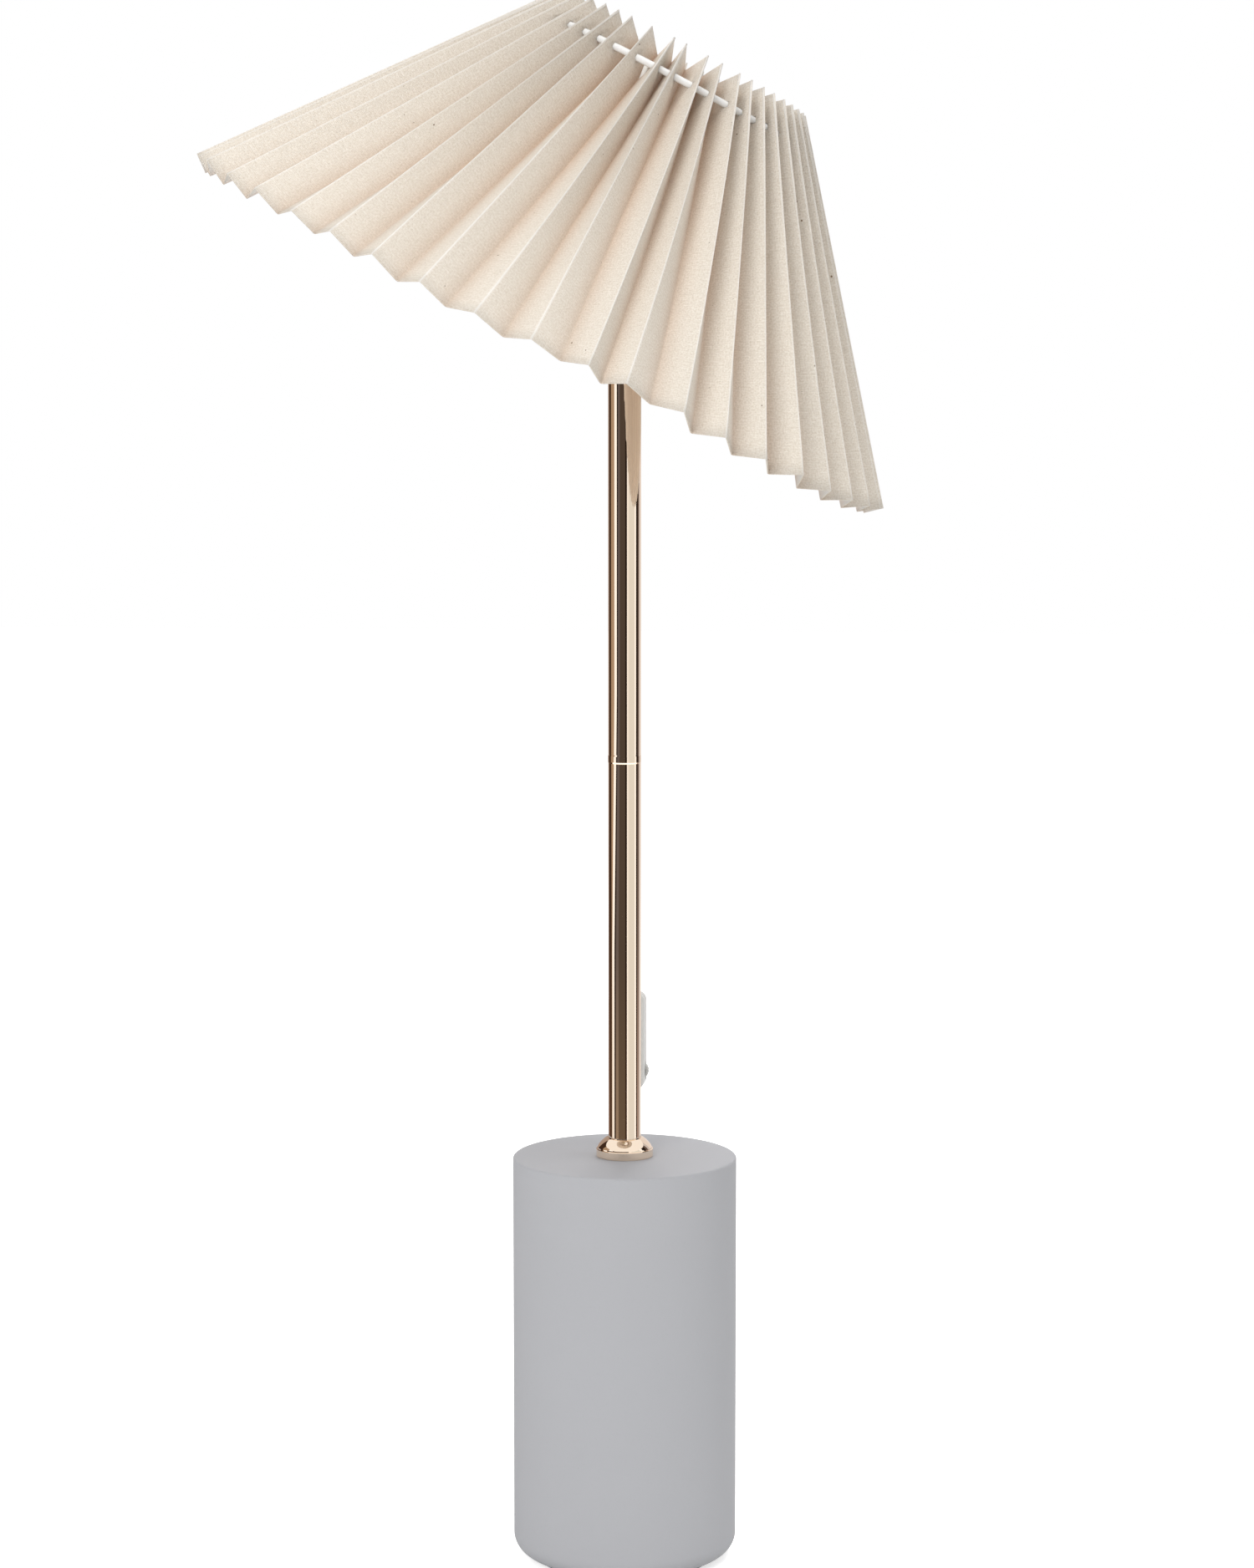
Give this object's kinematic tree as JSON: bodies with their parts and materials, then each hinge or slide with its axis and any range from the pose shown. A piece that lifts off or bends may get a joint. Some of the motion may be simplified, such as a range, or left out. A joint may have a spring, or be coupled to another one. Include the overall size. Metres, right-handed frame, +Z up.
{
  "type": "table lamp",
  "caption": "Table lamp with a heavy round base, a slim two-part stem and a pleated fabric shade on a tilting head.",
  "frame": {"origin": "centre of the base's underside, on the surface the lamp stands on", "axes": "+Z up the stem, +X to the side that the shade's top leans to, +Y to the back, where the cord hangs"},
  "size_m": [0.3208, 0.4491, 0.7598],
  "materials": {
    "concrete": "smooth fine cast concrete, pale grey",
    "pad": "matt foam pad",
    "steel": "zinc plated",
    "rose_gold": "polished rose gold",
    "clear_flex": "pale translucent flex",
    "white_plastic": "semi-gloss white",
    "wheel_plastic": "knurled white",
    "holder_plastic": "moulded white",
    "porcelain": "glazed",
    "brass": "plain brass",
    "frame_white": "white powder coat",
    "linen": "natural slubbed linen on a thin film",
    "bulb_glass": "clear glass",
    "bulb_cap": "bright aluminium",
    "filament": "filament on its glass stem"
  },
  "bodies": {
    "stand": {"base_body": "concrete", "base_pad": "pad", "base_washer": "steel", "base_nut": "steel", "tie_rod": "steel", "foot_flange": "rose_gold", "stem_lower": "rose_gold", "stem_foot_insert": "steel", "stem_coupler": "rose_gold", "stem_upper": "rose_gold", "knuckle_block": "rose_gold", "hinge_nipple": "steel", "friction_washer": "steel", "spring_washer": "steel", "lock_nut": "steel", "back_washer": "steel", "cord_outlet": "rose_gold", "cord_grip": "clear_flex", "cord_upper": "clear_flex", "switch_shell_front": "white_plastic", "switch_shell_back": "white_plastic", "switch_screw": "steel", "wheel_pin": "steel", "switch_contacts": "brass", "cord_lower": "clear_flex", "cord_coil": "clear_flex", "cord_tail": "clear_flex", "plug_body": "white_plastic", "plug_blades": "brass"},
    "head": {"head_cup": "rose_gold", "cup_screws": "steel", "holder_shell": "holder_plastic", "holder_insulator": "porcelain", "screw_shell": "brass", "centre_contact": "brass", "bulb_glass": "bulb_glass", "bulb_cap": "bulb_cap", "bulb_contact": "brass", "bulb_filament": "filament", "shade_frame": "frame_white", "shade_clamp_ring": "holder_plastic", "shade_cloth": "linen"},
    "wheel": {"switch_wheel": "wheel_plastic"}
  },
  "joints": [
    {"name": "shade_tilt", "type": "hinge", "parent": "stand", "child": "head", "pos_m": [0, 0, 0.668], "axis": [0, 1, 0], "range_deg": [-72.5, 17.5]},
    {"name": "switch_wheel", "type": "hinge", "parent": "stand", "child": "wheel", "pos_m": [0.0041, 0.028, 0.2376], "axis": [0, 1, 0], "continuous": true}
  ]
}
